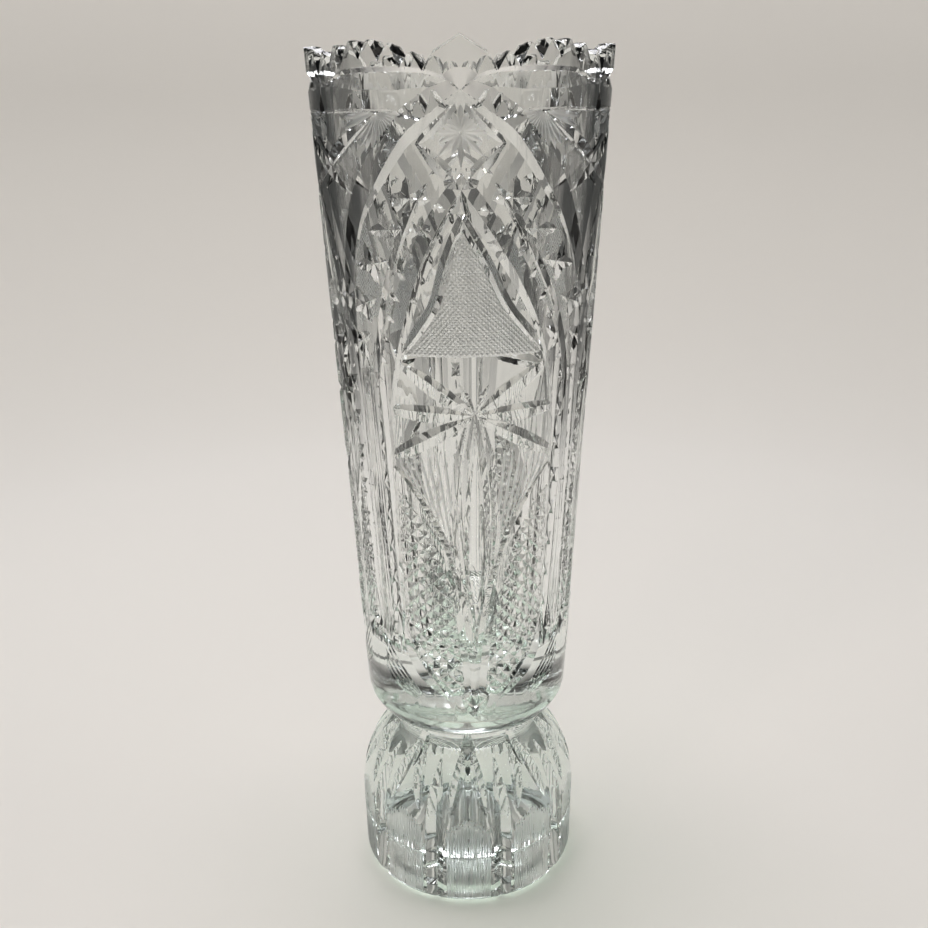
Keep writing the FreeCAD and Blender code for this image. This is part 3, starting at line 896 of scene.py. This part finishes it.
class VaseSizes(bpy.types.PropertyGroup):
    """Sizes and colours of the vase that a user would change."""
    arch_width: bpy.props.FloatProperty(
        name="Arch width", description="Outer arch mitre at the surface, in mm", default=11.0, min=4, max=12)
    arch_depth: bpy.props.FloatProperty(
        name="Arch depth", description="Outer arch mitre, in mm", default=2.6, min=1, max=3.5)
    lancet_width: bpy.props.FloatProperty(
        name="Lancet width", description="Inner lancet mitre at the surface, in mm",
        default=8.4, min=3, max=10)
    lancet_depth: bpy.props.FloatProperty(
        name="Lancet depth", description="Inner lancet mitre, in mm", default=2.2, min=1, max=3)
    leaf_width: bpy.props.FloatProperty(
        name="Leaf width", description="Mitre of the long leaves, in mm", default=7.6, min=2, max=9)
    leaf_depth: bpy.props.FloatProperty(
        name="Leaf depth", description="Mitre of the long leaves, in mm", default=2.6, min=0.8, max=3)
    polished: bpy.props.FloatProperty(
        name="Polished roughness", description="Roughness of the polished cuts",
        default=0.01, min=0, max=0.1)
    ground: bpy.props.FloatProperty(
        name="Ground roughness", description="Roughness of the cuts left matt",
        default=0.3, min=0.1, max=0.6)
    ray_width: bpy.props.FloatProperty(
        name="Ray width", description="Long rays of the rosette, in mm", default=6.6, min=2, max=8)
    ray_depth: bpy.props.FloatProperty(
        name="Ray depth", description="Long rays of the rosette, in mm", default=1.9, min=0.8, max=3)
    hobnail_pitch: bpy.props.FloatProperty(
        name="Pyramid pitch", description="From one row of pyramids to the next, in mm",
        default=4.1, min=2, max=8)
    hobnail_depth: bpy.props.FloatProperty(
        name="Pyramid depth", description="Cuts between the pyramids, in mm", default=1.6, min=0.4, max=2.5)
    hatch_pitch: bpy.props.FloatProperty(
        name="Hatch pitch", description="Fine crosshatching of the shield, in mm",
        default=1.35, min=0.8, max=3)
    bowl_triangles: bpy.props.IntProperty(
        name="Bowl triangles", description="Triangles that the cut bowl may have", default=190000, min=20000)
    foot_triangles: bpy.props.IntProperty(
        name="Foot triangles", description="Triangles that the cut foot may have", default=90000, min=10000)
    glass_colour: bpy.props.StringProperty(
        name="Glass", description="Colour of the glass surface, as sRGB hex", default="#fdfefd")
    depth_colour: bpy.props.StringProperty(
        name="Depth tint", description="Colour that thick glass takes, as sRGB hex", default="#d2e6de")
    paper_colour: bpy.props.StringProperty(
        name="Paper", description="Colour of the floor and backdrop, as sRGB hex", default="#e7e4dd")
    # Painted shade that the paper's corners take for every ray but camera rays, standing in for a dim room
    room_shade_colour: bpy.props.StringProperty(
        name="Room", description="Dim corners of the room that the glass finds, as sRGB hex",
        default="#525351")


class VASE_OT_bowl(bpy.types.Operator):
    """Make the cut bowl with its toothed rim"""
    bl_idname = "vase.bowl"
    bl_label = "Bowl"

    def execute(self, context):
        sizes = context.scene.vase_sizes
        piece = ring_piece("cut_bowl", bowl_half(sizes), PANELS, LEAN, crystal("crystal_bowl", sizes))
        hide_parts("bowl")
        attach(piece, "root")
        return {"FINISHED"}


class VASE_OT_foot(bpy.types.Operator):
    """Make the lobed foot with its combs and fluted shoulder"""
    bl_idname = "vase.foot"
    bl_label = "Foot"

    def execute(self, context):
        sizes = context.scene.vase_sizes
        piece = ring_piece("cut_foot", foot_half(sizes), LOBES, 0.0, crystal("crystal_foot", sizes))
        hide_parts("foot")
        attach(piece, "root")
        return {"FINISHED"}


# Stage, in metres

# The paper lies this far under the rest face
FLOOR_GAP = 0.0002
STAGE_RADIUS = 0.95
STAGE_CURVE = 0.35
STAGE_HEIGHT = 1.3
CAMERA_PLACE = (0.0, -0.4176, 0.3268)
CAMERA_PITCH = 18.68
CAMERA_ROLL = 0.64
FOCAL_PIXELS = 1050.0
PHOTO_PIXELS = 928.0
PHOTO_CENTRE = 464.0
AXIS_COLUMN = 464.3
SENSOR_WIDTH = 36.0
GLOW_COLOUR = "#8d8f90"
GLOW_STRENGTH = 0.4


def paper_sweep():
    """Round floor that curves up into a wall, like seamless paper."""
    rows = [(0.0, 0.0), (STAGE_RADIUS - STAGE_CURVE, 0.0)]
    rows += arc(rows[1], (STAGE_RADIUS, STAGE_CURVE), STAGE_CURVE, 1, 16)
    rows.append((STAGE_RADIUS, STAGE_HEIGHT))
    made = bmesh.new()
    middle = made.verts.new((0, 0, 0))
    rings = []
    count = 96
    for radius, height in rows[1:]:
        rings.append([made.verts.new((radius * math.sin(2 * math.pi * k / count),
                                      -radius * math.cos(2 * math.pi * k / count), height))
                      for k in range(count)])
    for k in range(count):
        after = (k + 1) % count
        made.faces.new((middle, rings[0][k], rings[0][after]))
        for low, high in zip(rings, rings[1:]):
            made.faces.new((low[k], high[k], high[after], low[after]))
    bmesh.ops.recalc_face_normals(made, faces=made.faces)
    mesh = bpy.data.meshes.new("paper_sweep")
    made.to_mesh(mesh)
    made.free()
    mesh.polygons.foreach_set("use_smooth", [True] * len(mesh.polygons))
    return mesh


def lamp(name, place, aim, side, watts, colour):
    """Square area lamp that looks at a place."""
    light = bpy.data.lights.new(name, "AREA")
    light.shape = "RECTANGLE"
    light.size = side
    light.size_y = side
    light.energy = watts
    light.color = linear(colour)[:3]
    holder = bpy.data.objects.new(name, light)
    holder.location = place
    holder.rotation_euler = (Vector(aim) - Vector(place)).to_track_quat("-Z", "Y").to_euler()
    bpy.context.scene.collection.objects.link(holder)


class VASE_OT_stage(bpy.types.Operator):
    """Make the paper floor, the lamps and the camera"""
    bl_idname = "vase.stage"
    bl_label = "Stage"

    def execute(self, context):
        sizes = context.scene.vase_sizes
        scene = context.scene
        sweep = bpy.data.objects.new("paper_sweep", paper_sweep())
        sweep.data.materials.append(paper("seamless_paper_painted_shade", sizes.paper_colour, sizes.room_shade_colour))
        scene.collection.objects.link(sweep)
        sweep.location.z = -FLOOR_GAP
        lamp("window_key", place=(-0.62, -0.78, 0.95), aim=(0, 0, 0.15), side=0.16, watts=34,
             colour="#fff8ec")
        lamp("soft_top", place=(-0.1, 0.2, 1.6), aim=(0, 0, 0), side=0.8, watts=22, colour="#fbfaff")
        world = bpy.data.worlds.new("room")
        world.use_nodes = True
        scene.world = world
        tree = world.node_tree
        tree.nodes.clear()
        glow = add_node(tree, "ShaderNodeBackground", [
            ("Color", linear(GLOW_COLOUR)), ("Strength", GLOW_STRENGTH)])
        add_node(tree, "ShaderNodeOutputWorld", [("Surface", glow.outputs[0])])
        lens = bpy.data.cameras.new("photo_camera")
        lens.sensor_width = SENSOR_WIDTH
        lens.lens = SENSOR_WIDTH * FOCAL_PIXELS / PHOTO_PIXELS
        lens.shift_x = -(AXIS_COLUMN - PHOTO_CENTRE) / PHOTO_PIXELS
        lens.clip_start = 0.01
        holder = bpy.data.objects.new("photo_camera", lens)
        turn = Matrix.Rotation(math.radians(90 - CAMERA_PITCH), 4, "X")
        roll = Matrix.Rotation(math.radians(-CAMERA_ROLL), 4, "Z")
        holder.matrix_world = Matrix.Translation(CAMERA_PLACE) @ turn @ roll
        scene.collection.objects.link(holder)
        scene.camera = holder
        scene.view_settings.view_transform = "Standard"
        return {"FINISHED"}


class VASE_PT_panel(bpy.types.Panel):
    """Sizes and pieces of the vase"""
    bl_idname = "VASE_PT_panel"
    bl_label = "Cut-crystal vase"
    bl_space_type = "VIEW_3D"
    bl_region_type = "UI"
    bl_category = "Vase"

    def draw(self, context):
        sizes = context.scene.vase_sizes
        for name in VaseSizes.__annotations__:
            self.layout.prop(sizes, name)
        for piece in PIECES:
            self.layout.operator(piece.bl_idname)


PIECES = (VASE_OT_bowl, VASE_OT_foot, VASE_OT_stage)
CLASSES = (VaseSizes, *PIECES, VASE_PT_panel)


def register():
    for kind in CLASSES:
        bpy.utils.register_class(kind)
    bpy.types.Scene.vase_sizes = bpy.props.PointerProperty(type=VaseSizes)


def unregister():
    del bpy.types.Scene.vase_sizes
    for kind in reversed(CLASSES):
        bpy.utils.unregister_class(kind)


def main():
    register()
    bpy.ops.vase.bowl()
    bpy.ops.vase.foot()
    bpy.ops.vase.stage()


if __name__ == "__main__":
    main()
